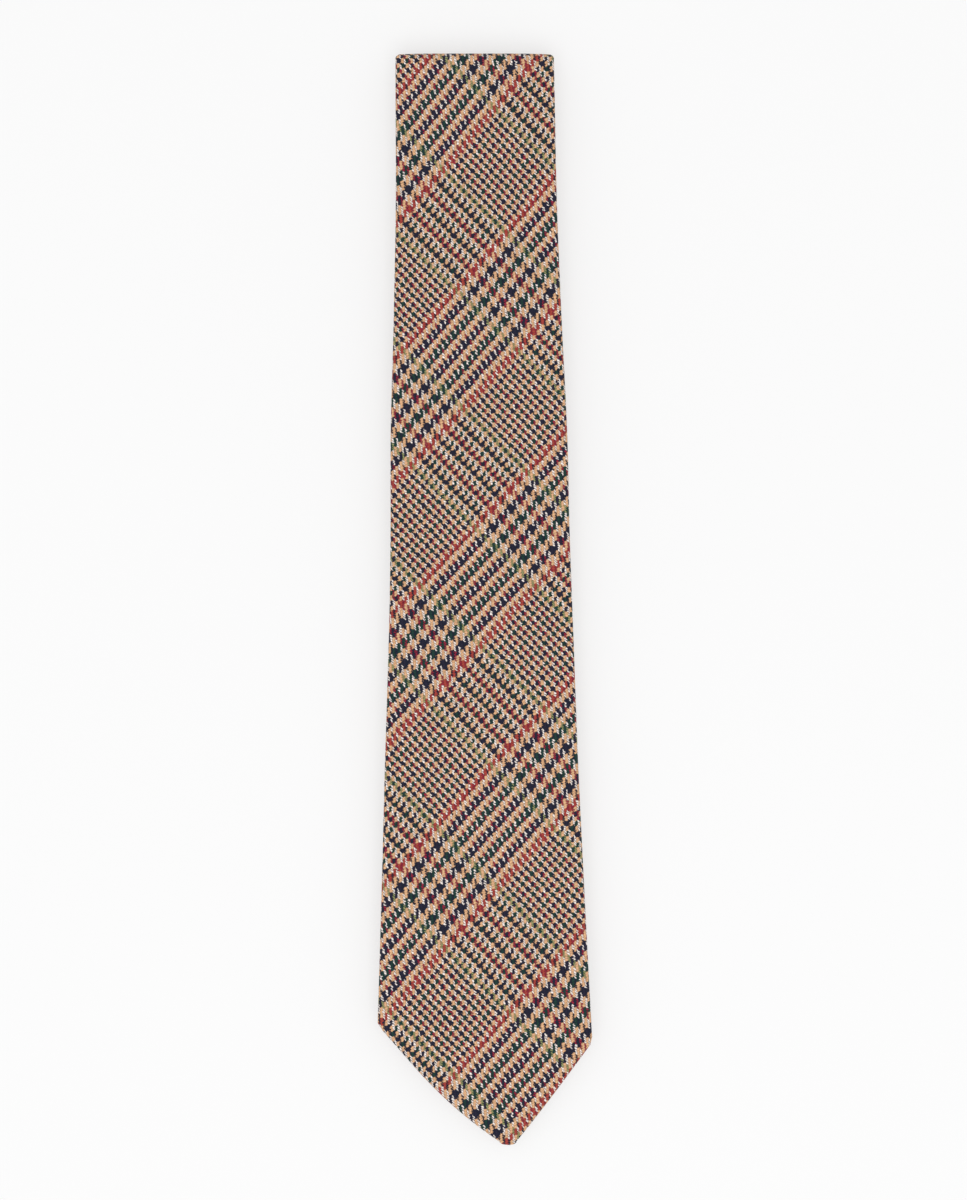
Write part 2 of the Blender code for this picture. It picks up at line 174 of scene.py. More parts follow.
# A yarn's cross-section and its rise and fall, in pitches and in yarn radii.
FIRST_HALF_WIDTH = 0.75
SECOND_HALF_WIDTH = 0.42
YARN_LIFT = 1.0
OUT_OF_REACH = 9.0  # sinks a yarn below every other where it doesn't reach
THREAD_WANDER = 0.8
WANDER_SCALES = (150.0, 130.0)  # for the first and the second system
FUZZ = 1.0
FUZZ_SCALES = (1500.0, 1300.0)
TONE_STEP = 7.3  # sets the tones of neighbouring yarns far apart
TONE_SCALE = 0.35
FIBRE_STRETCH = 5.0
FIBRE_SCALE = 1.3
NAP_SCALE = 2600.0
TONE_REACH, FIBRE_REACH, NAP_REACH = 0.5, 0.7, 1.0
FIBRE_RELIEF = 0.5
CREST_SHADE = 0.6  # painted shade: how much darker a yarn is painted where it dives than on its crest
FIRST_SIDE_SHADE = 0.36  # painted shade: how dark a yarn's sides are painted against its ridge
SECOND_SIDE_SHADE = 0.15

# An evenly woven length: threads for HALF_LENGTH along and for a millimetre across.
EVEN_ALONG = (-205.0, 232.0)
EVEN_ACROSS = (1.1, 1.17)
SECOND_SHIFT = 1.7

# Yarn colours, linear.
YARNS = {
    "tan": (0.78, 0.45, 0.245),
    "rust": (0.40, 0.055, 0.043),
    "cream": (1.0, 0.90, 0.84),
    "olive": (0.32, 0.34, 0.15),
    "burgundy": (0.33, 0.018, 0.052),
    "first_navy": (0.018, 0.017, 0.040),
    "second_navy": (0.014, 0.017, 0.042),
    "green": (0.012, 0.044, 0.038),
}


def counts(system, x, y):
    """The thread count of one system at x, y on the tie laid out flat with its front up."""
    t = y / HALF_LENGTH
    bounded = max(-1.0, min(t, 1.0))
    rates = list(enumerate(system["along"], start=1))
    along = sum(rate * bounded**power for power, rate in rates)
    slope = sum(power * rate * bounded ** (power - 1) for power, rate in rates)
    across = sum(rate * bounded**power for power, rate in enumerate(system["across"]))
    return system["middle"] + along + slope * (t - bounded) + across * x / MM


def blade_threads(x, y):
    return counts(FIRST_SYSTEM, x, y), counts(SECOND_SYSTEM, x, y)


def even_threads(shift):
    """An evenly woven length, for the pieces where no pressing shows."""

    def threads(x, y):
        starts = (shift, SECOND_SHIFT * shift)
        return tuple(
            start + along * y / HALF_LENGTH + across * x / MM
            for start, along, across in zip(starts, EVEN_ALONG, EVEN_ACROSS)
        )

    return threads


# ---------------------------------------------------------------- node graphs


class Graph:
    """Short names for the nodes of one material."""

    def __init__(self, name, roughness, **settings):
        self.material = bpy.data.materials.new(name)
        self.material.use_nodes = True
        self.nodes = self.material.node_tree.nodes
        self.links = self.material.node_tree.links
        self.shader = self.nodes["Principled BSDF"]
        self.shader.inputs["Roughness"].default_value = roughness
        for socket, value in settings.items():
            self.shader.inputs[socket.replace("_", " ")].default_value = value

    def feed(self, socket, value):
        if isinstance(value, bpy.types.NodeSocket):
            self.links.new(value, socket)
        else:
            socket.default_value = value

    def math(self, operation, a, b=0.0, c=0.0):
        node = self.nodes.new("ShaderNodeMath")
        node.operation = operation
        for socket, value in zip(node.inputs, (a, b, c)):
            self.feed(socket, value)
        return node.outputs[0]

    def mix(self, factor, a, b, mode="MIX"):
        node = self.nodes.new("ShaderNodeMix")
        node.data_type = "RGBA"
        node.blend_type = mode
        self.feed(node.inputs["Factor"], factor)
        self.feed(node.inputs["A"], a)
        self.feed(node.inputs["B"], b)
        return node.outputs["Result"]

    def rgb(self, colour):
        node = self.nodes.new("ShaderNodeRGB")
        node.outputs[0].default_value = (*colour, 1.0)
        return node.outputs[0]

    def grey(self, value):
        node = self.nodes.new("ShaderNodeCombineColor")
        for socket in node.inputs[:3]:
            self.feed(socket, value)
        return node.outputs[0]

    def choose(self, condition, if_true, if_false):
        """A number picked by a condition that is 0 or 1."""
        difference = self.math("SUBTRACT", if_true, if_false)
        return self.math("MULTIPLY_ADD", condition, difference, if_false)

    def wander(self, vector, scale, reach):
        """Noise that strays to each side of zero."""
        return self.math("MULTIPLY_ADD", self.noise(vector, scale), 2 * reach, -reach)

    def vector(self, x, y, z=0.0):
        node = self.nodes.new("ShaderNodeCombineXYZ")
        for socket, value in zip(node.inputs, (x, y, z)):
            self.feed(socket, value)
        return node.outputs[0]

    def noise(self, vector, scale, detail=2.0, roughness=0.5):
        node = self.nodes.new("ShaderNodeTexNoise")
        self.feed(node.inputs["Vector"], vector)
        node.inputs["Scale"].default_value = scale
        node.inputs["Detail"].default_value = detail
        node.inputs["Roughness"].default_value = roughness
        return node.outputs["Fac"]

    def place(self):
        return self.nodes.new("ShaderNodeTexCoord").outputs["Object"]

    def thread_counts(self):
        """The two thread counts that the mesh carries."""
        node = self.nodes.new("ShaderNodeUVMap")
        node.uv_map = "threads"
        split = self.nodes.new("ShaderNodeSeparateXYZ")
        self.links.new(node.outputs[0], split.inputs[0])
        return split.outputs[0], split.outputs[1]

    def finish(self, colour, height=None, depth=0.1 * MM, strength=1.0):
        self.feed(self.shader.inputs["Base Color"], colour)
        if height is not None:
            bump = self.nodes.new("ShaderNodeBump")
            bump.inputs["Distance"].default_value = depth
            bump.inputs["Strength"].default_value = strength
            self.feed(bump.inputs["Height"], height)
            self.links.new(bump.outputs[0], self.shader.inputs["Normal"])
        return self.material


def check_colour(g, thread, light, over, dark_one, dark_two):
    """The colour of a thread by its number: an overcheck, then broad stripes, an overcheck,
    then fine stripes. Dark stripes take their two colours in turn."""
    count = g.math("FLOORED_MODULO", thread, float(REPEAT))
    fine = g.math("GREATER_THAN", count, BROAD_SECTION - 0.5)
    count = g.math("SUBTRACT", count, g.math("MULTIPLY", fine, float(BROAD_SECTION)))
    width = g.math("SUBTRACT", float(BROAD), g.math("MULTIPLY", fine, float(BROAD - FINE)))
    past_over = g.math("SUBTRACT", count, OVERCHECK - 0.5)
    stripe = g.math("FLOOR", g.math("DIVIDE", past_over, width))
    is_dark = g.math("FLOORED_MODULO", stripe, 2.0)
    turn = g.math("FLOORED_MODULO", g.math("FLOOR", g.math("DIVIDE", stripe, 2.0)), 2.0)
    dark = g.mix(turn, g.rgb(dark_one), g.rgb(dark_two))
    colour = g.mix(is_dark, g.rgb(light), dark)
    return g.mix(g.math("LESS_THAN", past_over, 0.0), colour, g.rgb(over))


def topmost_yarn(g, count, other, half_width, sign):
    """The higher of the two nearest yarns of one system: its number, its height, and how
    much light its round side gets there.

    A yarn is a half round half_width pitches to each side of its middle. It rides over two
    yarns of the other system and dives under two, one yarn behind its neighbour."""
    own = g.math("FLOOR", count)
    beyond_middle = g.math("GREATER_THAN", g.math("FRACT", count), 0.5)
    neighbour = g.math("ADD", own, g.math("MULTIPLY_ADD", beyond_middle, 2.0, -1.0))

    def section(number):
        offset = g.math("SUBTRACT", g.math("SUBTRACT", count, number), 0.5)
        offset = g.math("DIVIDE", offset, half_width)
        square = g.math("MULTIPLY", offset, offset)
        roundness = g.math("MAXIMUM", g.math("SUBTRACT", 1.0, square), 0.0)
        wave = g.math("SINE", g.math("MULTIPLY", g.math("ADD", number, other), math.pi / 2))
        rise = g.math("MULTIPLY", wave, float(sign))
        height = g.math("MULTIPLY_ADD", rise, YARN_LIFT, g.math("SQRT", roundness))
        outside = g.math("GREATER_THAN", square, 1.0)
        height = g.math("SUBTRACT", height, g.math("MULTIPLY", outside, OUT_OF_REACH))
        crest = g.math("MULTIPLY_ADD", g.math("MAXIMUM", rise, 0.0), CREST_SHADE, 1.0 - CREST_SHADE)
        return height, g.math("MULTIPLY", roundness, crest)

    own_height, own_light = section(own)
    neighbour_height, neighbour_light = section(neighbour)
    own_wins = g.math("GREATER_THAN", own_height, neighbour_height)
    number = g.choose(own_wins, own, neighbour)
    light = g.choose(own_wins, own_light, neighbour_light)
    return number, g.math("MAXIMUM", own_height, neighbour_height), light


def wool_twill():
    """Two and two twill: a first-system yarn is on top for two threads, then under for two."""
    g = Graph("checked_wool_twill", 0.9, Sheen_Weight=0.12, Sheen_Roughness=0.5,
              Specular_IOR_Level=0.2)
    place = g.place()
    first, second = g.thread_counts()
    for scales, reach in ((WANDER_SCALES, THREAD_WANDER), (FUZZ_SCALES, FUZZ)):
        first = g.math("ADD", first, g.wander(place, scales[0], reach))
        second = g.math("ADD", second, g.wander(place, scales[1], reach))
    first_thread, first_height, first_light = topmost_yarn(
        g, first, second, FIRST_HALF_WIDTH, 1)
    second_thread, second_height, second_light = topmost_yarn(
        g, second, first, SECOND_HALF_WIDTH, -1)
    first_on_top = g.math("GREATER_THAN", first_height, second_height)
    height = g.math("MAXIMUM", first_height, second_height)

    first_colour = check_colour(g, first_thread, YARNS["tan"], YARNS["rust"],
                                YARNS["first_navy"], YARNS["green"])
    second_colour = check_colour(g, second_thread, YARNS["cream"], YARNS["olive"],
                                 YARNS["second_navy"], YARNS["burgundy"])
    colour = g.mix(first_on_top, second_colour, first_colour)

    # Each yarn is spun a little lighter or darker along its length, and its fibres show.
    first_place = g.vector(g.math("MULTIPLY", first_thread, TONE_STEP), second)
    second_place = g.vector(first, g.math("MULTIPLY", second_thread, TONE_STEP), 9.0)
    tone = g.choose(first_on_top, g.noise(first_place, TONE_SCALE),
                    g.noise(second_place, TONE_SCALE))
    first_place = g.vector(g.math("MULTIPLY", first, FIBRE_STRETCH), second)
    second_place = g.vector(first, g.math("MULTIPLY", second, FIBRE_STRETCH))
    fibres = g.choose(first_on_top, g.noise(first_place, FIBRE_SCALE, 3.0, 0.7),
                      g.noise(second_place, FIBRE_SCALE, 3.0, 0.7))
    nap = g.noise(place, NAP_SCALE, 3.0, 0.7)
    # Painted shade: each yarn is painted darker on its round sides and where it dives under, by
    # how much light its side gets.
    shade = g.choose(
        first_on_top,
        g.math("MULTIPLY_ADD", first_light, 1.0 - FIRST_SIDE_SHADE, FIRST_SIDE_SHADE),
        g.math("MULTIPLY_ADD", second_light, 1.0 - SECOND_SIDE_SHADE, SECOND_SIDE_SHADE),
    )
    for grain, reach in ((tone, TONE_REACH), (fibres, FIBRE_REACH), (nap, NAP_REACH)):
        shade = g.math("MULTIPLY", shade, g.math("MULTIPLY_ADD", grain, reach, 1 - reach / 2))
    colour = g.mix(1.0, colour, g.grey(shade), "MULTIPLY")
    relief = g.math("ADD", height, g.math("MULTIPLY", fibres, FIBRE_RELIEF))
    return g.finish(colour, relief, depth=0.12 * MM, strength=0.6)


def fine_twill(name, base, dark, pitch, roughness, **settings):
    """A plain cloth in one colour, with a fine diagonal rib. The rib's grooves are painted
    darker as painted shade, and the colour also wanders a little at random.
    """
    g = Graph(name, roughness, **settings)
    place = g.place()
    split = g.nodes.new("ShaderNodeSeparateXYZ")
    g.links.new(place, split.inputs[0])
    x, y = split.outputs[0], split.outputs[1]
    ribs = g.math("SINE", g.math("MULTIPLY", g.math("ADD", x, y), 2 * math.pi / pitch))
    yarns = g.math("SINE", g.math("MULTIPLY", g.math("SUBTRACT", x, y), 2 * math.pi / pitch))
    uneven = g.noise(place, 160.0, 4.0, 0.6)
    rib = g.math("MULTIPLY_ADD", g.math("ADD", ribs, g.math("MULTIPLY", yarns, 0.4)), 0.3, 0.5)
    # Painted shade in the rib's grooves, mixed with random unevenness of tone.
    share = g.math("MULTIPLY_ADD", uneven, 0.6, g.math("MULTIPLY", rib, 0.6))
    colour = g.mix(share, g.rgb(dark), g.rgb(base))
    return g.finish(colour, rib, depth=0.06 * MM, strength=0.5)


def twisted_thread(name, base, dark):
    """Sewing thread: two plies that wind round each other, with painted shade in the grooves
    between them.
    """
    g = Graph(name, 0.55, Sheen_Weight=0.2)
    place = g.place()
    wave = g.nodes.new("ShaderNodeTexWave")
    wave.bands_direction = "DIAGONAL"
    g.feed(wave.inputs["Vector"], place)
    wave.inputs["Scale"].default_value = 900.0
    wave.inputs["Distortion"].default_value = 1.5
    return g.finish(g.mix(wave.outputs["Fac"], g.rgb(dark), g.rgb(base)), wave.outputs["Fac"],
                    depth=0.05 * MM)


def floor_material():
    """A pale board with a soft glow of its own, so that shadows on it stay faint."""
    g = Graph("pale_backdrop", 0.9, Emission_Color=(1.0, 1.0, 1.0, 1.0),
              Emission_Strength=0.58)
    paler = g.noise(g.place(), 3.0)
    return g.finish(g.mix(paler, g.rgb((0.345, 0.345, 0.345)), g.rgb((0.355, 0.355, 0.355))))


WOOL = wool_twill()
LINING = fine_twill("navy_tipping_lining", (0.035, 0.04, 0.10), (0.012, 0.014, 0.04), 0.5 * MM,
                    0.42, Sheen_Weight=0.15)
CANVAS = fine_twill("wool_interlining", (0.66, 0.60, 0.47), (0.45, 0.40, 0.30), 0.9 * MM, 0.95)
SATIN = fine_twill("label_satin", (0.82, 0.80, 0.74), (0.66, 0.63, 0.56), 0.35 * MM, 0.38)
THREAD = twisted_thread("navy_thread", (0.03, 0.035, 0.08), (0.008, 0.01, 0.03))


# ---------------------------------------------------------------- outlines


def smooth(t):
    t = max(0.0, min(t, 1.0))
    return t * t * (3 - 2 * t)


def point_side(y, side, corner, tip, bow=0.0):
    """x on a slanted side of a point, from its corner to the blunt tip. A corner is (x, y),
    and a tip (x, y, half its width). The bow is fullest a little past half way down."""
    share = (corner[1] - y) / (corner[1] - tip[1])
    straight = corner[0] + (tip[0] + side * tip[2] - corner[0]) * share
    return straight + side * bow * BOW_SCALE * share**1.5 * (1 - share)


def blade_half(y):
    share = (TOP_HINGE.y - y) / (TOP_HINGE.y - RIGHT_CORNER_Y)
    share = max(share, 0.0)
    straight = FOLD_WIDTH + (BLADE_WIDTH - FOLD_WIDTH) * share
    uneven = sum(reach * math.exp(-(((y - at) / SWELL_LENGTH) ** 2)) for at, reach in SWELLS)
    return (straight - BLADE_FLARE * 4 * share * (1 - share)) / 2 + uneven


def blade_edges(y):
    shift = TOP_SHIFT * smooth((y - SHIFT_FROM_Y) / -SHIFT_FROM_Y)
    left, right = shift - blade_half(y), shift + blade_half(y)
    if y < LEFT_CORNER_Y:
        corner = (-blade_half(LEFT_CORNER_Y), LEFT_CORNER_Y)
        left = point_side(y, -1, corner, BLADE_TIP, LEFT_BOW)
    if y < RIGHT_CORNER_Y:
        corner = (blade_half(RIGHT_CORNER_Y), RIGHT_CORNER_Y)
        right = point_side(y, 1, corner, BLADE_TIP, RIGHT_BOW)
    return left, right


def taper(y, y_a, width_a, y_b, width_b):
    half = (width_a + (width_b - width_a) * (y - y_a) / (y_b - y_a)) / 2
    return -half, half


def rear_edges(y):
    left, right = taper(y, TOP_HINGE.y, FOLD_WIDTH, LOWER_HINGE.y, LOWER_FOLD_WIDTH)
    shift = TOP_SHIFT * smooth(y / TOP_HINGE.y)
    return left + shift, right + shift


def neck_edges(y):
    return taper(y, LOWER_HINGE.y, LOWER_FOLD_WIDTH, TAIL_HINGE.y, TAIL_FOLD_WIDTH)


def tail_edges(y):
    left, right = taper(y, TAIL_HINGE.y, TAIL_FOLD_WIDTH, TAIL_CORNER_Y, TAIL_WIDTH)
    if y < TAIL_CORNER_Y:
        left, right = (
            point_side(y, side, (side * TAIL_WIDTH / 2, TAIL_CORNER_Y), TAIL_TIP)
            for side in (-1, 1)
        )
    return left, right


def closed_slit(_y):
    return -SLIT / 2, SLIT / 2


def open_slit(edges, tack_y, corner_y, tip_x):
    """Above the bar tack the flaps meet. Below it they draw apart to the hem of the point."""

    def slit(y):
        if y >= tack_y:
            return closed_slit(y)
        left, right = edges(y)
        opened = min((tack_y - y) / (tack_y - corner_y), 1.0)
        middle = tip_x * opened if y < corner_y else 0.0
        left_slit = -SLIT / 2 + (left + HEM + SLIT / 2) * opened
        right_slit = SLIT / 2 + (right - HEM - SLIT / 2) * opened
        return min(left_slit, middle - SLIT / 2), max(right_slit, middle + SLIT / 2)

    return slit


blade_slit = open_slit(blade_edges, BLADE_TACK_Y, RIGHT_CORNER_Y, BLADE_TIP[0])
tail_slit = open_slit(tail_edges, TAIL_TACK_Y, TAIL_CORNER_Y, 0.0)


def droop(y):
    share = (DROOP_START_Y - y) / (DROOP_START_Y - FRONT_BOX[0][1])
    return DROOP * max(share, 0.0) ** 2


def ripple(x, y):
    """The gentle unevenness of pressed cloth."""
    across, along = RIPPLE_RATE
    return RIPPLE * noise.noise(Vector((x * across, y * along, RIPPLE_SLICE)))


# ---------------------------------------------------------------- rings and paths


def ring(left, right, slit_left, slit_right, height=LAYER):
    """[(x, h, u)] around a layer: h is the height above its middle, u the place in the cloth
    across the tie, which on the front is x and carries on round the edges."""
    half = height / 2
    inner_left, inner_right = left + half, right - half
    flat = []
    for i in range(FRONT_COLUMNS + 1):
        share = i / FRONT_COLUMNS
        x = inner_right + (inner_left - inner_right) * share
        flat.append((x, half - CROWN * (height / LAYER) * abs(2 * share - 1) ** CROWN_POWER, x))

    def side(sign, inner, slit):
        points = []
        lip = min(LIP, half)
        for i in range(FLAP_COLUMNS + 1):
            share = i / FLAP_COLUMNS
            x = slit + (inner - slit) * share
            distance = math.pi * half + abs(inner - x)
            points.append((x, -half, inner + sign * distance))
        points.insert(0, (slit, lip - half, points[0][2] + sign * lip))
        drop = CROWN * (height / LAYER)
        for i in range(1, EDGE_COLUMNS):
            angle = math.pi * (i / EDGE_COLUMNS - 0.5)
            x = inner + sign * half * math.cos(angle)
            h = half * math.sin(angle) - drop * i / EDGE_COLUMNS
            points.append((x, h, inner + sign * half * (math.pi / 2 - angle)))
        return points

    right_side = side(1, inner_right, slit_right)
    left_side = side(-1, inner_left, slit_left)
    return right_side + flat + left_side[::-1]


def flat_run(z, face_up, y_from, y_to, edges, slit, slants=(0.0, 0.0)):
    """Rings along a flat layer. A ring is (points, place, skew): place takes x and h, and
    skew is how far the cloth runs ahead for each length across."""
    count = max(2, round(abs(y_to - y_from) / ROW_STEP))
    heading = 1 if y_to > y_from else -1
    for i in range(count + 1):
        share = i / count
        y = y_from + (y_to - y_from) * share
        slant = slants[0] + (slants[1] - slants[0]) * share

        def place(x, h, y=y, slant=slant):
            return (x, y + slant * x, z + (h if face_up else -h))

        yield ring(*edges(y), *slit(y)), place, heading * slant


def fold_run(hinge, upper_z, side, front_outside, width, shift=0.0, slant=0.0):
    """Rings round a fold, from the upper layer to the lower one."""
    rise = upper_z - hinge.z
    reach = FOLD_BULGE - HALF_LAYER
    outward = 1 if front_outside else -1
    for i in range(1, FOLD_ROWS):
        angle = math.pi * (0.5 - i / FOLD_ROWS)

        def place(x, h, angle=angle):
            y = hinge.y + side * (reach + outward * h) * math.cos(angle)
            return (x, y + slant * x, hinge.z + (rise + outward * h) * math.sin(angle))

        half = width / 2 - CORNER_ROUND * math.cos(angle) ** CORNER_POWER
        points = ring(shift - half, shift + half, *closed_slit(0.0))
        yield points, place, side * slant * math.sin(angle)


def tip_run(z, face_up, tip, edges, from_tip):
    """Rings that close the blunt tip with a small round."""
    tip_x, tip_y, _half = tip
    left, right = edges(tip_y + HALF_LAYER)
    rows = range(TIP_ROWS, 0, -1)
    for i in rows if from_tip else reversed(rows):
        angle = math.pi / 2 * i / (TIP_ROWS + TIP_BLUNTNESS)
        size = math.cos(angle)
        y = tip_y + HALF_LAYER * (1 - math.sin(angle))
        spread = size**TIP_SPREAD_POWER
        slit = SLIT / 2 * size

        def place(x, h, y=y):
            return (x, y, z + (h if face_up else -h))

        points = ring(tip_x + (left - tip_x) * spread, tip_x + (right - tip_x) * spread,
                      tip_x - slit, tip_x + slit, LAYER * size)
        yield points, place, 0.0


def loft(name, rings, threads, y_start):
    """A mesh through the rings, with the thread counts in a UV map. The cloth's own place
    along the tie is y_start at the first ring and grows from there."""
    work = bmesh.new()
    uv = work.loops.layers.uv.new("threads")
    rows, cloth_rows = [], []
    cloth_y, last = y_start, None
    for points, place, skew in rings:
        row = [work.verts.new(place(x, h)) for x, h, _u in points]
        here = Vector(place(0.0, HALF_LAYER))
        if last is not None:
            cloth_y += (here - last).length
        last = here
        rows.append(row)
        cloth_rows.append([threads(u, cloth_y + skew * u) for _x, _h, u in points])
    for r in range(len(rows) - 1):
        for c in range(len(rows[r]) - 1):
            spots = ((r, c), (r, c + 1), (r + 1, c + 1), (r + 1, c))
            face = work.faces.new([rows[i][j] for i, j in spots])
            face.smooth = True
            for loop, (i, j) in zip(face.loops, spots):
                loop[uv].uv = cloth_rows[i][j]
    mesh = bpy.data.meshes.new(name)
    work.to_mesh(mesh)
    work.free()
    return mesh


def new_piece(name, mesh, material):
    piece = bpy.data.objects.new(name, mesh)
    bpy.context.scene.collection.objects.link(piece)
    mesh.materials.append(material)
    return piece


def apply_modifiers(piece):
    bpy.context.view_layer.update()
    evaluated = piece.evaluated_get(bpy.context.evaluated_depsgraph_get())
    mesh = bpy.data.meshes.new_from_object(evaluated)
    piece.modifiers.clear()
    piece.data = mesh


def thicken(piece, thickness, inward=True):
    solid = piece.modifiers.new("thickness", "SOLIDIFY")
    solid.thickness = thickness
    solid.offset = -1.0 if inward else 1.0
    apply_modifiers(piece)


# ---------------------------------------------------------------- the three shell lengths


def shell(name, rings, threads, y_start):
    mesh = loft(name, rings, threads, y_start)
    mesh.flip_normals()
    piece = new_piece(name, mesh, WOOL)
    thicken(piece, CLOTH)
    return piece


def build_blade_shell():
    rings = list(tip_run(FRONT_Z, True, BLADE_TIP, blade_edges, True))
    rings += flat_run(FRONT_Z, True, BLADE_TIP[1] + HALF_LAYER, TOP_HINGE.y, blade_edges,
                      blade_slit, (0.0, TOP_SLANT))
    rings += fold_run(TOP_HINGE, FRONT_Z, 1, True, FOLD_WIDTH, TOP_SHIFT, TOP_SLANT)
    rings += flat_run(REAR_Z, False, TOP_HINGE.y, REAR_SEAM_Y + SLIT / 2, rear_edges,
                      closed_slit, (TOP_SLANT, SEAM_SLANT))
    piece = shell("blade_shell", rings, blade_threads, BLADE_TIP[1])
    for vertex in piece.data.vertices:
        if vertex.co.z > TOP_HINGE.z and vertex.co.y < TOP_HINGE.y:
            vertex.co.z += ripple(vertex.co.x, vertex.co.y)
    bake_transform(piece)
    # The tip sinks last, after the transform is baked.
    for vertex in piece.data.vertices:
        if vertex.co.z > TOP_HINGE.z:
            vertex.co.z -= droop(vertex.co.y)
    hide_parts("blade_shell_front", "blade_shell_rear", "blade_fold")
    return piece


def build_neck_shell():
    rings = list(flat_run(REAR_Z, False, REAR_SEAM_Y - SLIT / 2, LOWER_HINGE.y, rear_edges,
                          closed_slit, (SEAM_SLANT, 0.0)))
    rings += fold_run(LOWER_HINGE, REAR_Z, -1, False, LOWER_FOLD_WIDTH)
    rings += flat_run(NECK_Z, True, LOWER_HINGE.y, NECK_SEAM_Y - SLIT / 2, neck_edges,
                      closed_slit, (0.0, SEAM_SLANT))
    piece = shell("neck_shell", rings, even_threads(11.0), 0.0)
    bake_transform(piece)
    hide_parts("neck_shell_upper", "neck_shell_lower", "neck_fold")
    return piece


def build_tail_shell():
    rings = list(flat_run(NECK_Z, True, NECK_SEAM_Y + SLIT / 2, TAIL_HINGE.y, neck_edges,
                          closed_slit, (SEAM_SLANT, 0.0)))
    rings += fold_run(TAIL_HINGE, NECK_Z, 1, True, TAIL_FOLD_WIDTH)
    rings += flat_run(TAIL_Z, False, TAIL_HINGE.y, TAIL_TIP[1] + HALF_LAYER, tail_edges,
                      tail_slit)
    rings += tip_run(TAIL_Z, False, TAIL_TIP, tail_edges, False)
    piece = shell("tail_shell", rings, even_threads(37.0), 0.0)
    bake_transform(piece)
    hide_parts("tail_shell_upper", "tail_shell_end", "tail_fold")
    return piece


CUT_STEP = 1.0 * MM


def cut_girth(edges, slit):
    """How wide the cloth is cut at one place: over the front, round both edges, over the
    flaps to the slit, and in at its lips."""
    left, right = edges
    slit_left, slit_right = slit
    around = 2 * (right - left) - (slit_right - slit_left)
    return around + (math.pi - 2) * LAYER + 2 * LIP


def declare_cut(rise, runs):
    """Works out how a shell length is cut: its length, its area and its widest girth, which it
    then drops. A run is (edges, slit, y at its free end, y at its fold), and rise is half the
    height between the two layers."""
    fold = math.pi * (rise + FOLD_BULGE - HALF_LAYER) / 2
    length, area, widest = fold, 0.0, 0.0
    for edges, slit, end_y, fold_y in runs:
        count = round(abs(fold_y - end_y) / CUT_STEP)
        step = (fold_y - end_y) / count
        places = [end_y + (i + 0.5) * step for i in range(count)]
        girths = [cut_girth(edges(y), slit(y)) for y in places]
        length += abs(fold_y - end_y)
        area += abs(step) * sum(girths) + fold / 2 * girths[-1]
        widest = max(widest, *girths)


blade_shell = build_blade_shell()
neck_shell = build_neck_shell()
tail_shell = build_tail_shell()
declare_cut((FRONT_Z - REAR_Z) / 2,
            [(blade_edges, blade_slit, BLADE_TIP[1], TOP_HINGE.y),
             (rear_edges, closed_slit, REAR_SEAM_Y, TOP_HINGE.y)])
declare_cut((REAR_Z - NECK_Z) / 2,
            [(rear_edges, closed_slit, REAR_SEAM_Y, LOWER_HINGE.y),
             (neck_edges, closed_slit, NECK_SEAM_Y, LOWER_HINGE.y)])
declare_cut((NECK_Z - TAIL_Z) / 2,
            [(neck_edges, closed_slit, NECK_SEAM_Y, TAIL_HINGE.y),
             (tail_edges, tail_slit, TAIL_TIP[1], TAIL_HINGE.y)])


# ---------------------------------------------------------------- linings, bands and label

TIPPING_HEIGHT = 0.95 * MM  # above the layer's back
TIPPING_CLOTH = 0.2 * MM
POINT_INSET = 3.4 * MM
SIDE_INSET = 2.0 * MM
PANEL_COLUMNS = 16
PUCKER = 0.12 * MM
PUCKER_RATE = 90.0


def build_tipping(name, node, body, z, face_up, edges, corner_y, sink):
    """The lining that shows in the open point of the back."""
    low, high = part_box(node)
    count = round((high[1] - low[1]) / ROW_STEP)
    rows, spans = [], []
    work = bmesh.new()
    for i in range(count + 1):
        y = low[1] + (high[1] - low[1]) * i / count
        left, right = edges(y)
        inset = SIDE_INSET + (POINT_INSET - SIDE_INSET) * smooth((corner_y - y) / POINT_INSET)
        span = right - left - 2 * inset
        spans.append(span)
        row = []
        for j in range(PANEL_COLUMNS + 1):
            x = left + inset + span * j / PANEL_COLUMNS
            pucker = PUCKER * noise.noise(Vector((x, y, z)) * PUCKER_RATE)
            h = TIPPING_HEIGHT - HALF_LAYER + pucker
            row.append(work.verts.new((x, y, z + (h if face_up else -h) - sink(y))))
        rows.append(row)
    for below, above in zip(rows, rows[1:]):
        for j in range(PANEL_COLUMNS):
            face = work.faces.new((below[j], below[j + 1], above[j + 1], above[j]))
            face.smooth = True
    mesh = bpy.data.meshes.new(name)
    work.to_mesh(mesh)
    work.free()
    piece = new_piece(name, mesh, LINING)
    thicken(piece, TIPPING_CLOTH, inward=face_up)
    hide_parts(node)
    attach(piece, body)
    return piece


BAND_CORNERS = 4
BAND_FACE_STEPS = 8


def band_outline(width, thickness):
    """Points round a flat band with round edges, as (across, height)."""
    half, radius = width / 2 - thickness / 2, thickness / 2
    points = []
    for side in (1, -1):
        for i in range(BAND_CORNERS + 1):
            angle = math.pi * (i / BAND_CORNERS - 0.5)
            points.append((side * (half + radius * math.cos(angle)),
                           side * radius * math.sin(angle)))
        for i in range(1, BAND_FACE_STEPS):
            across = side * half * (1 - 2 * i / BAND_FACE_STEPS)
            points.append((across, side * radius))
    return points


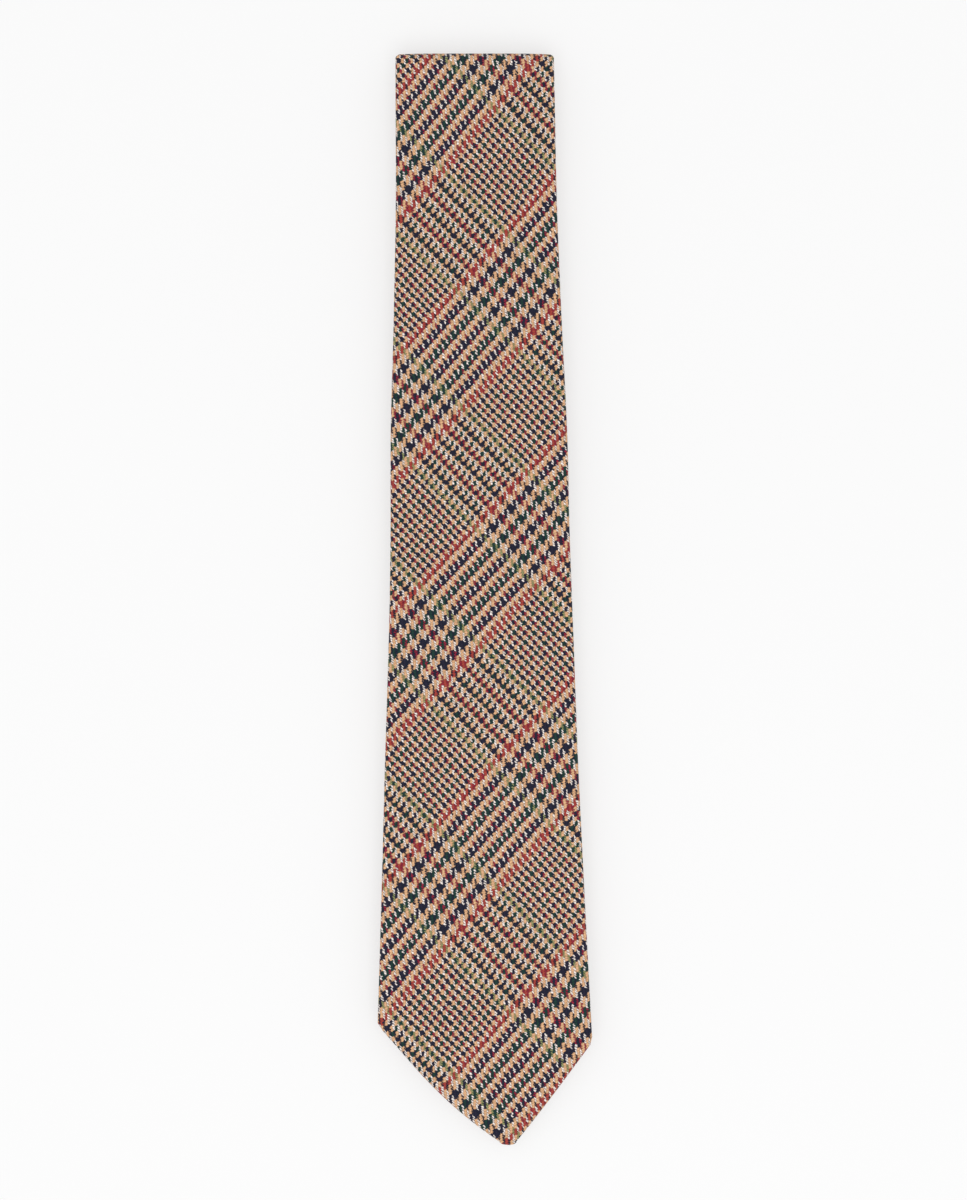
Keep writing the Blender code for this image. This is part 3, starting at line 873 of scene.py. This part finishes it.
def build_band(name, node, body, path, along, width, thickness, material):
    """A flat band that runs along X (0) or Y (1) through (place, height) points."""
    work = bmesh.new()
    uv = work.loops.layers.uv.new("threads")
    centre = (Vector(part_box(node)[0]) + Vector(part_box(node)[1])) / 2
    outline = band_outline(width, thickness)
    rings = []
    for place, height in path:
        ring_points = []
        for across, rise in outline:
            point = centre.copy()
            point[along] += place
            point[1 - along] += across
            point.z = height + rise
            ring_points.append(work.verts.new(point))
        rings.append(ring_points)
    for below, above in zip(rings, rings[1:]):
        for i in range(len(outline)):
            j = (i + 1) % len(outline)
            work.faces.new((below[i], below[j], above[j], above[i]))
    work.faces.new(rings[0][::-1])
    work.faces.new(rings[-1])
    bmesh.ops.recalc_face_normals(work, faces=work.faces)
    for face in work.faces:
        face.smooth = len(face.verts) == 4
        for loop in face.loops:
            place = loop.vert.co - centre
            loop[uv].uv = even_threads(0.0)(place.x + place.z, place.y)
    mesh = bpy.data.meshes.new(name)
    work.to_mesh(mesh)
    work.free()
    piece = new_piece(name, mesh, material)
    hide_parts(node)
    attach(piece, body)
    return piece


KEEPER_WIDTH = 12.0 * MM
KEEPER_CLOTH = 0.6 * MM
KEEPER_DROP = 0.8 * MM
KEEPER_RISE = 5.0 * MM  # the length at each end over which the band comes up to its stitches
KEEPER_END = 3.0 * MM  # the flat length at each end, under the stitches
KEEPER_PROUD = 0.2 * MM
KEEPER_STEPS = 48


def build_keeper():
    low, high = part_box("keeper_loop")
    top = high[2] - KEEPER_CLOTH / 2 + KEEPER_PROUD
    path = []
    for i in range(KEEPER_STEPS + 1):
        place = low[0] + (high[0] - low[0]) * i / KEEPER_STEPS
        inward = (high[0] - KEEPER_END - abs(place)) / KEEPER_RISE
        path.append((place, top - KEEPER_DROP * smooth(inward)))
    piece = build_band("keeper_band", "keeper_loop", "front_layer", path, 0, KEEPER_WIDTH,
                       KEEPER_CLOTH, WOOL)
    return piece


LABEL_CLOTH = 0.22 * MM
LABEL_SAG = 0.5 * MM
LABEL_CURL = 0.1 * MM
LABEL_PROUD = 0.15 * MM
LABEL_STEPS = 24


def build_label():
    """A blank satin label. It is held along its upper edge, and its free end hangs off."""
    low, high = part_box("care_label")
    width, length = high[0] - low[0], high[1] - low[1]
    path = []
    for i in range(LABEL_STEPS + 1):
        share = i / LABEL_STEPS
        place = length * (0.5 - share)
        sag = LABEL_SAG * share**2 - LABEL_CURL * math.sin(share * math.pi)
        path.append((place, high[2] + LABEL_PROUD - sag))
    piece = build_band("label_satin_piece", "care_label", "front_layer", path, 1, width,
                       LABEL_CLOTH, SATIN)
    return piece


# ---------------------------------------------------------------- stitches

THREAD_RADIUS = 0.14 * MM
TURN_STEPS = 10
TURN_UNEVEN = 0.06


def thread_piece(name, node, body, points):
    """A sewing thread through points, as a mesh tube."""
    curve = bpy.data.curves.new(name, "CURVE")
    curve.dimensions = "3D"
    curve.bevel_depth = THREAD_RADIUS
    curve.bevel_resolution = 1
    curve.use_fill_caps = True
    spline = curve.splines.new("POLY")
    spline.points.add(len(points) - 1)
    for spline_point, point in zip(spline.points, points):
        spline_point.co = (*point, 1.0)
    piece = bpy.data.objects.new(name, curve)
    bpy.context.scene.collection.objects.link(piece)
    bpy.context.view_layer.update()
    evaluated = piece.evaluated_get(bpy.context.evaluated_depsgraph_get())
    mesh = bpy.data.meshes.new_from_object(evaluated)
    bpy.data.objects.remove(piece, do_unlink=True)
    mesh.materials.clear()
    for face in mesh.polygons:
        face.use_smooth = True
    piece = new_piece(name, mesh, THREAD)
    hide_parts(node)
    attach(piece, body)
    return piece


def whipping(node, along, turns, body="front_layer"):
    """Thread wound over and over, in the space of the plain block that it stands for."""
    low, high = (Vector(corner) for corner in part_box(node))
    centre, size = (low + high) / 2, high - low
    draw = random.Random(node)
    points = []
    for i in range(turns * TURN_STEPS + 1):
        share = i / (turns * TURN_STEPS)
        angle = 2 * math.pi * turns * share
        uneven = 1 + draw.uniform(-TURN_UNEVEN, TURN_UNEVEN)
        point = centre.copy()
        point[along] += (share - 0.5) * (size[along] - 2 * THREAD_RADIUS)
        point[1 - along] += math.cos(angle) * (size[1 - along] / 2 - THREAD_RADIUS) * uneven
        point.z += math.sin(angle) * (size.z / 2 - THREAD_RADIUS / 2)
        points.append(point)
    return thread_piece(f"{node}_thread", node, body, points)


STITCH_PITCH = 4.6 * MM
STITCH_REACH = 0.75 * MM
STITCH_SLANT = 1.3 * MM
STITCH_DEPTH = 0.55 * MM
STITCH_PROUD = 0.06 * MM
STITCH_START = 0.3  # in pitches
STITCH_STRAY = 0.3  # in millimetres
STITCH_UNEVEN = 0.15
DIVE_INWARD = 0.6  # how far the dive lies towards the slit, as a share of the reach
DIVE_AHEAD = 0.5 * MM


def slip_stitches(node, body, back_z, inward):
    """One long thread down the slit. It crosses the slit in a short slanted stitch, then dives
    into the cloth and runs on to the next one."""
    low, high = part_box(node)
    draw = random.Random(node)
    count = int((high[1] - low[1]) / STITCH_PITCH)
    surface = back_z - inward * STITCH_PROUD
    inside = back_z + inward * STITCH_DEPTH
    points = []
    for i in range(count):
        stray = draw.uniform(-STITCH_STRAY, STITCH_STRAY) * MM
        y = low[1] + (i + STITCH_START) * STITCH_PITCH + stray
        reach = STITCH_REACH * draw.uniform(1 - STITCH_UNEVEN, 1 + STITCH_UNEVEN)
        points.append((-DIVE_INWARD * reach, y - DIVE_AHEAD, inside))
        points.append((-reach, y, surface + inward * THREAD_RADIUS))
        points.append((0.0, y + STITCH_SLANT / 2, surface))
        points.append((reach, y + STITCH_SLANT, surface + inward * THREAD_RADIUS))
        points.append((DIVE_INWARD * reach, y + STITCH_SLANT + DIVE_AHEAD, inside))
    return thread_piece(f"{node}_thread", node, body, points)


def no_sink(_y):
    return 0.0


build_tipping("blade_tipping_cloth", "blade_tipping", "front_layer", FRONT_Z, True,
              blade_edges, LEFT_CORNER_Y, droop)
build_tipping("tail_tipping_cloth", "tail_tipping", "tail_layer", TAIL_Z, False,
              tail_edges, TAIL_CORNER_Y, no_sink)
build_keeper()
build_label()
slip_stitches("slip_stitch_front", "front_layer", FRONT_Z - HALF_LAYER, 1)
slip_stitches("slip_stitch_rear", "rear_layer", REAR_Z + HALF_LAYER, -1)
slip_stitches("slip_stitch_neck", "neck_layer", NECK_Z - HALF_LAYER, 1)
slip_stitches("slip_stitch_tail", "tail_layer", TAIL_Z + HALF_LAYER, -1)
whipping("blade_bar_tack", 0, 22)
whipping("tail_bar_tack", 0, 8, "tail_layer")
whipping("keeper_stitch_left", 1, 10)
whipping("keeper_stitch_right", 1, 10)
whipping("care_label_stitch", 0, 14)

for node in frame["nodes"]:
    if node.endswith("interlining"):
        target = bpy.data.objects[node]
        target.material_slots[0].material = CANVAS

# ---------------------------------------------------------------- camera, light, floor

VIEW_HEIGHT = 444.5 * MM
CAMERA_DISTANCE = 1.6
CAMERA_ROLL = -0.652
CAMERA_AT = (1.43 * MM, -0.37 * MM)
SENSOR = 36.0
FLOOR_SIZE = 4.0
SKY_STRENGTH = 0.80
KEY_AT = (0.0, -0.62, 1.8)
KEY_SIZE = 1.6
KEY_POWER = 13.0


def build_camera():
    data = bpy.data.cameras.new("overhead")
    data.sensor_width = SENSOR
    data.lens = SENSOR * CAMERA_DISTANCE / VIEW_HEIGHT
    camera = bpy.data.objects.new("overhead", data)
    camera.location = (*CAMERA_AT, cad_box[1][2] + CAMERA_DISTANCE)
    camera.rotation_euler = Euler((0.0, 0.0, math.radians(CAMERA_ROLL)))
    bpy.context.scene.collection.objects.link(camera)
    bpy.context.scene.camera = camera


def area_light(name, at, aim, size, power):
    data = bpy.data.lights.new(name, "AREA")
    data.size = size
    data.energy = power
    light = bpy.data.objects.new(name, data)
    light.location = at
    light.rotation_euler = (Vector(aim) - Vector(at)).to_track_quat("-Z", "Y").to_euler()
    bpy.context.scene.collection.objects.link(light)


def build_stage():
    bpy.ops.mesh.primitive_plane_add(size=FLOOR_SIZE, location=(0.0, 0.0, cad_box[0][2]))
    floor = bpy.context.object
    floor.name = "backdrop"
    floor.data.materials.append(floor_material())
    world = bpy.data.worlds.new("studio")
    world.use_nodes = True
    sky = world.node_tree.nodes["Background"]
    sky.inputs["Color"].default_value = (1.0, 1.0, 1.0, 1.0)
    sky.inputs["Strength"].default_value = SKY_STRENGTH
    bpy.context.scene.world = world
    area_light("key", KEY_AT, (0.0, 0.0, 0.0), KEY_SIZE, KEY_POWER)
    bpy.context.scene.view_settings.view_transform = "Standard"


build_camera()
build_stage()
